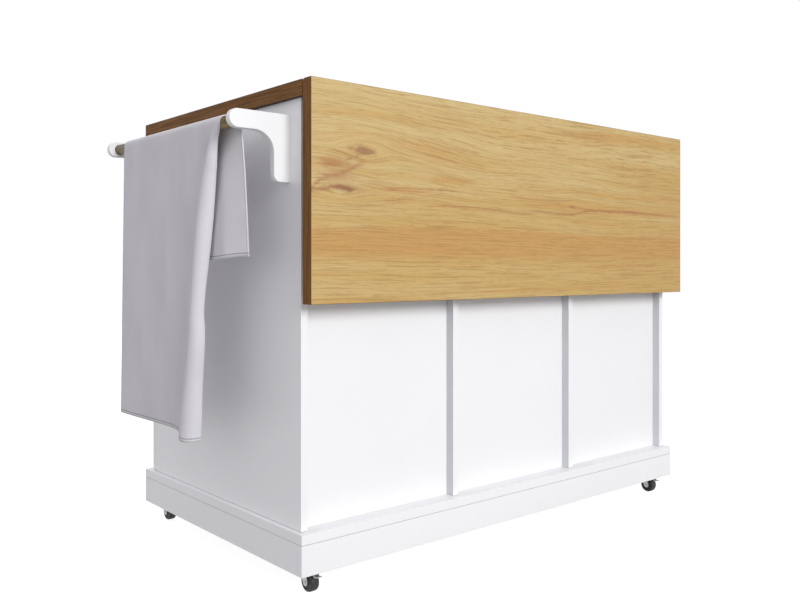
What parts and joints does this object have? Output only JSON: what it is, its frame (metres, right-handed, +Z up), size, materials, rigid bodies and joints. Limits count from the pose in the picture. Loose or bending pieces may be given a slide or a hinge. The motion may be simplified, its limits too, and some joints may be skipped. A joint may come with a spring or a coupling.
{
  "type": "kitchen island",
  "caption": "Rolling kitchen island with an oak drop-leaf worktop, white panelled cupboard with doors and drawers, plinth on casters, and a towel rack with a draped towel.",
  "frame": {"origin": "on the floor under the middle of the outline", "axes": "+X along the length towards the towel rack, +Y towards the drop leaf at the back, +Z up"},
  "size_m": [1.3164, 0.716, 0.955],
  "materials": {
    "oak": "oak laminate, satin",
    "white_board": "white satin laminate",
    "steel": "bright zinc",
    "black_rubber": "matt",
    "black_wheel": "matt nylon",
    "dowel_wood": "oiled",
    "towel_cloth": "woven cotton"
  },
  "bodies": {
    "island": {"worktop": "oak", "side_panel_right": "white_board", "side_panel_left": "white_board", "divider_right": "white_board", "divider_left": "white_board", "back_panel_right": "white_board", "back_panel_middle": "white_board", "back_panel_left": "white_board", "top_rails": "white_board", "base_board": "white_board", "plinth_back": "white_board", "plinth_front": "white_board", "plinth_right": "white_board", "plinth_left": "white_board", "caster_blocks": "white_board", "shelf_right": "white_board", "shelf_left": "white_board", "towel_bracket_back": "white_board", "towel_bracket_front": "white_board", "leaf_hinge_arms": "steel", "shelf_pins": "steel", "caster_plates": "steel", "drawer_runners": "steel", "leaf_stay_pads": "black_rubber", "towel_dowel": "dowel_wood"},
    "leaf": {"drop_leaf": "oak", "leaf_hinge_cups": "steel", "leaf_stay_brackets": "steel"},
    "stay_right": {"leaf_stay_right": "steel"},
    "stay_left": {"leaf_stay_left": "steel"},
    "door_right": {"door_right": "white_board", "door_pivots_right": "steel", "door_knob_right": "steel"},
    "door_left": {"door_left": "white_board", "door_pivots_left": "steel", "door_knob_left": "steel"},
    "towel": {"towel": "towel_cloth"},
    "drawer_top": {"drawer_front_top": "white_board", "drawer_box_top": "white_board", "drawer_knob_top": "steel"},
    "drawer_middle": {"drawer_front_middle": "white_board", "drawer_box_middle": "white_board", "drawer_knob_middle": "steel"},
    "drawer_bottom": {"drawer_front_bottom": "white_board", "drawer_box_bottom": "white_board", "drawer_knob_bottom": "steel"},
    "caster_back_right": {"caster_fork_back_right": "steel"},
    "wheel_back_right": {"caster_wheel_back_right": "black_wheel"},
    "brake_back_right": {"caster_brake_back_right": "steel"},
    "caster_back_left": {"caster_fork_back_left": "steel"},
    "wheel_back_left": {"caster_wheel_back_left": "black_wheel"},
    "brake_back_left": {"caster_brake_back_left": "steel"},
    "caster_front_right": {"caster_fork_front_right": "steel"},
    "wheel_front_right": {"caster_wheel_front_right": "black_wheel"},
    "caster_front_left": {"caster_fork_front_left": "steel"},
    "wheel_front_left": {"caster_wheel_front_left": "black_wheel"}
  },
  "joints": [
    {"name": "leaf_fold", "type": "hinge", "parent": "island", "child": "leaf", "pos_m": [-0.05825, 0.3445, 0.9415], "axis": [1, 0, 0], "range_deg": [0, 90]},
    {"name": "stay_right_swing", "type": "hinge", "parent": "leaf", "child": "stay_right", "pos_m": [0.13575, 0.323, 0.7815], "axis": [1, 0, 0], "range_deg": [-144.34, 0]},
    {"name": "door_right_swing", "type": "hinge", "parent": "island", "child": "door_right", "pos_m": [0.52525, -0.328, 0.5235], "axis": [0, 0, 1], "range_deg": [0, 105]},
    {"name": "stay_left_swing", "type": "hinge", "parent": "leaf", "child": "stay_left", "pos_m": [-0.25225, 0.323, 0.7815], "axis": [1, 0, 0], "range_deg": [-144.34, 0]},
    {"name": "door_left_swing", "type": "hinge", "parent": "island", "child": "door_left", "pos_m": [-0.64175, -0.328, 0.5235], "axis": [0, 0, -1], "range_deg": [0, 105]},
    {"name": "drawer_top_slide", "type": "slide", "parent": "island", "child": "drawer_top", "axis": [0, -1, 0], "range_m": [0, 0.38]},
    {"name": "drawer_middle_slide", "type": "slide", "parent": "island", "child": "drawer_middle", "axis": [0, -1, 0], "range_m": [0, 0.38]},
    {"name": "drawer_bottom_slide", "type": "slide", "parent": "island", "child": "drawer_bottom", "axis": [0, -1, 0], "range_m": [0, 0.38]},
    {"name": "caster_back_right_swivel", "type": "hinge", "parent": "island", "child": "caster_back_right", "pos_m": [0.49675, 0.273, 0.045], "axis": [0, 0, 1], "continuous": true},
    {"name": "caster_back_right_roll", "type": "hinge", "parent": "caster_back_right", "child": "wheel_back_right", "pos_m": [0.49675, 0.289, 0.019], "axis": [1, 0, 0], "continuous": true},
    {"name": "caster_back_right_brake", "type": "hinge", "parent": "caster_back_right", "child": "brake_back_right", "pos_m": [0.49675, 0.28514, 0.04086], "axis": [1, 0, 0], "range_deg": [-12, 0]},
    {"name": "caster_back_left_swivel", "type": "hinge", "parent": "island", "child": "caster_back_left", "pos_m": [-0.61325, 0.273, 0.045], "axis": [0, 0, 1], "continuous": true},
    {"name": "caster_back_left_roll", "type": "hinge", "parent": "caster_back_left", "child": "wheel_back_left", "pos_m": [-0.61325, 0.289, 0.019], "axis": [1, 0, 0], "continuous": true},
    {"name": "caster_back_left_brake", "type": "hinge", "parent": "caster_back_left", "child": "brake_back_left", "pos_m": [-0.61325, 0.28514, 0.04086], "axis": [1, 0, 0], "range_deg": [-12, 0]},
    {"name": "caster_front_right_swivel", "type": "hinge", "parent": "island", "child": "caster_front_right", "pos_m": [0.49675, -0.297, 0.045], "axis": [0, 0, 1], "continuous": true},
    {"name": "caster_front_right_roll", "type": "hinge", "parent": "caster_front_right", "child": "wheel_front_right", "pos_m": [0.49675, -0.313, 0.019], "axis": [1, 0, 0], "continuous": true},
    {"name": "caster_front_left_swivel", "type": "hinge", "parent": "island", "child": "caster_front_left", "pos_m": [-0.61325, -0.297, 0.045], "axis": [0, 0, 1], "continuous": true},
    {"name": "caster_front_left_roll", "type": "hinge", "parent": "caster_front_left", "child": "wheel_front_left", "pos_m": [-0.61325, -0.313, 0.019], "axis": [1, 0, 0], "continuous": true},
    {"name": "towel_slide", "type": "slide", "parent": "island", "child": "towel", "axis": [0, 1, 0], "range_m": [-0.045, 0.012]}
  ],
  "couplings": [
    {"joint": "stay_right_swing", "follows": "leaf_fold", "ratio": -1.5982},
    {"joint": "stay_left_swing", "follows": "leaf_fold", "ratio": -1.5982}
  ]
}
